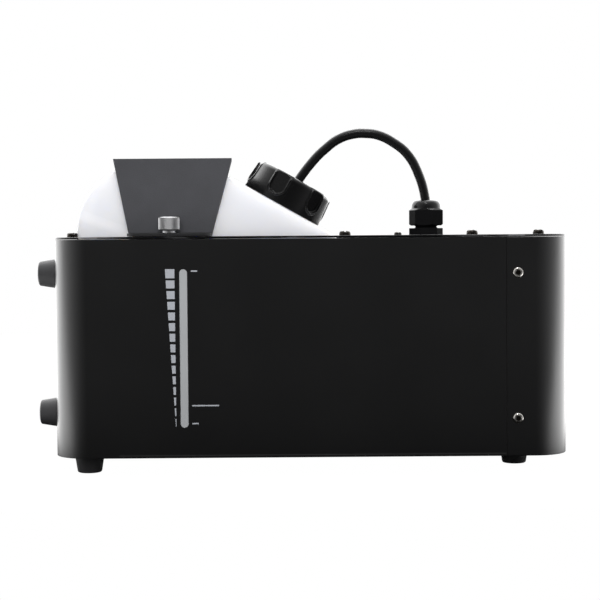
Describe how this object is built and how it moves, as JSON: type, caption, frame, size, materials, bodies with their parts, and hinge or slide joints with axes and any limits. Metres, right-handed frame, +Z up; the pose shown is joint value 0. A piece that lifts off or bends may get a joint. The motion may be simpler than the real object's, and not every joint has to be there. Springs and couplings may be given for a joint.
{
  "type": "fog machine",
  "caption": "Black sheet-metal fog machine with a white fluid tank under a strap, hose to a gland, level window, lit nozzle end and rear controls.",
  "frame": {"origin": "on the floor, under the middle of the whole machine", "axes": "+Z up, -Y the long side with the level window, +X the nozzle end, -X the end with four feet"},
  "size_m": [0.3612, 0.2598, 0.2368],
  "materials": {
    "case_paint": "semi-gloss black powder coat",
    "strap_paint": "fine textured dark powder coat",
    "foot_rubber": "matt",
    "tank_plastic": "milky blow-moulded polyethylene",
    "cap_plastic": "moulded, satin",
    "seal_rubber": "matt",
    "hose_rubber": "smooth, slightly shiny",
    "gland_nylon": "moulded nylon, satin",
    "bright_steel": "nickel plated",
    "zinc_plate": "zinc plated",
    "cast_aluminium": "as cast",
    "brass": "turned",
    "copper": "drawn copper tube",
    "circuit_board": "solder mask",
    "clear_plastic": "clear",
    "window_plastic": "milky translucent",
    "display_glass": "dark clear window",
    "black_plastic": "moulded, satin"
  },
  "bodies": {
    "case": {"base_foot_left_front": "foot_rubber", "base_foot_left_rear": "foot_rubber", "base_foot_right_front": "foot_rubber", "base_foot_right_rear": "foot_rubber", "end_foot_lower_front": "foot_rubber", "end_foot_lower_rear": "foot_rubber", "end_foot_upper_front": "foot_rubber", "end_foot_upper_rear": "foot_rubber", "base_pan": "case_paint", "side_shell": "case_paint", "end_cover": "case_paint", "top_plate": "case_paint", "cover_screw_front_lower": "zinc_plate", "cover_screw_front_upper": "zinc_plate", "cover_screw_rear_lower": "zinc_plate", "cover_screw_rear_upper": "zinc_plate", "level_window": "window_plastic", "tank_well": "zinc_plate", "fluid_tank": "tank_plastic", "pickup_tube": "clear_plastic", "pickup_strainer": "brass", "tank_strap": "strap_paint", "gland_body": "gland_nylon", "gland_nut": "gland_nylon", "gland_locknut": "gland_nylon", "tank_hose": "hose_rubber", "pump_body": "black_plastic", "pump_coil": "zinc_plate", "pump_bracket": "zinc_plate", "feed_tube": "copper", "heater_block": "cast_aluminium", "heater_jacket": "zinc_plate", "heater_spacer_left": "zinc_plate", "heater_spacer_right": "zinc_plate", "heater_saddle_left": "zinc_plate", "heater_saddle_right": "zinc_plate", "thermostat": "bright_steel", "outlet_pipe": "copper", "nozzle": "brass", "lens_plate": "clear_plastic", "lamp_board": "circuit_board", "control_panel": "black_plastic", "display": "display_glass", "menu_board": "circuit_board", "signal_in": "black_plastic", "signal_out": "black_plastic", "mains_inlet": "black_plastic", "power_switch": "black_plastic", "fuse_holder": "black_plastic", "main_board": "circuit_board"},
    "cap_seal": {"cap_seal": "seal_rubber"},
    "tank_cap": {"tank_cap": "cap_plastic"},
    "thumbscrew_front": {"thumbscrew_front": "bright_steel"},
    "thumbscrew_rear": {"thumbscrew_rear": "bright_steel"},
    "button_menu": {"button_menu": "black_plastic"},
    "button_up": {"button_up": "black_plastic"},
    "button_enter": {"button_enter": "black_plastic"},
    "button_down": {"button_down": "black_plastic"},
    "power_rocker": {"power_rocker": "black_plastic"},
    "fuse_cap": {"fuse_cap": "black_plastic"}
  },
  "joints": [
    {"name": "cap_lift", "type": "slide", "parent": "case", "child": "cap_seal", "axis": [0.4939, 0, 0.8695], "range_m": [0, 0.005]},
    {"name": "cap_turn", "type": "hinge", "parent": "cap_seal", "child": "tank_cap", "pos_m": [-0.01345, -0.0654, 0.1829], "axis": [0.4939, 0, 0.8695], "range_deg": [0, 450]},
    {"name": "front_thumbscrew_turn", "type": "hinge", "parent": "case", "child": "thumbscrew_front", "pos_m": [-0.08815, -0.1182, 0.1644], "axis": [0, 0, 1], "continuous": true},
    {"name": "rear_thumbscrew_turn", "type": "hinge", "parent": "case", "child": "thumbscrew_rear", "pos_m": [-0.08815, -0.0126, 0.1644], "axis": [0, 0, 1], "continuous": true},
    {"name": "button_menu_press", "type": "slide", "parent": "case", "child": "button_menu", "axis": [0, -1, 0], "range_m": [0, 0.001], "stiffness_N_per_m": 300},
    {"name": "button_up_press", "type": "slide", "parent": "case", "child": "button_up", "axis": [0, -1, 0], "range_m": [0, 0.001], "stiffness_N_per_m": 300},
    {"name": "button_enter_press", "type": "slide", "parent": "case", "child": "button_enter", "axis": [0, -1, 0], "range_m": [0, 0.001], "stiffness_N_per_m": 300},
    {"name": "button_down_press", "type": "slide", "parent": "case", "child": "button_down", "axis": [0, -1, 0], "range_m": [0, 0.001], "stiffness_N_per_m": 300},
    {"name": "power_rocker_tip", "type": "hinge", "parent": "case", "child": "power_rocker", "pos_m": [0.04235, 0.1226, 0.0583], "axis": [1, 0, 0], "range_deg": [-20, 0]},
    {"name": "fuse_cap_turn", "type": "hinge", "parent": "case", "child": "fuse_cap", "pos_m": [0.12135, 0.1226, 0.0583], "axis": [0, 1, 0], "range_deg": [0, 90]}
  ],
  "couplings": [
    {"joint": "cap_lift", "follows": "cap_turn", "m_per_rad": 0.0006366}
  ]
}
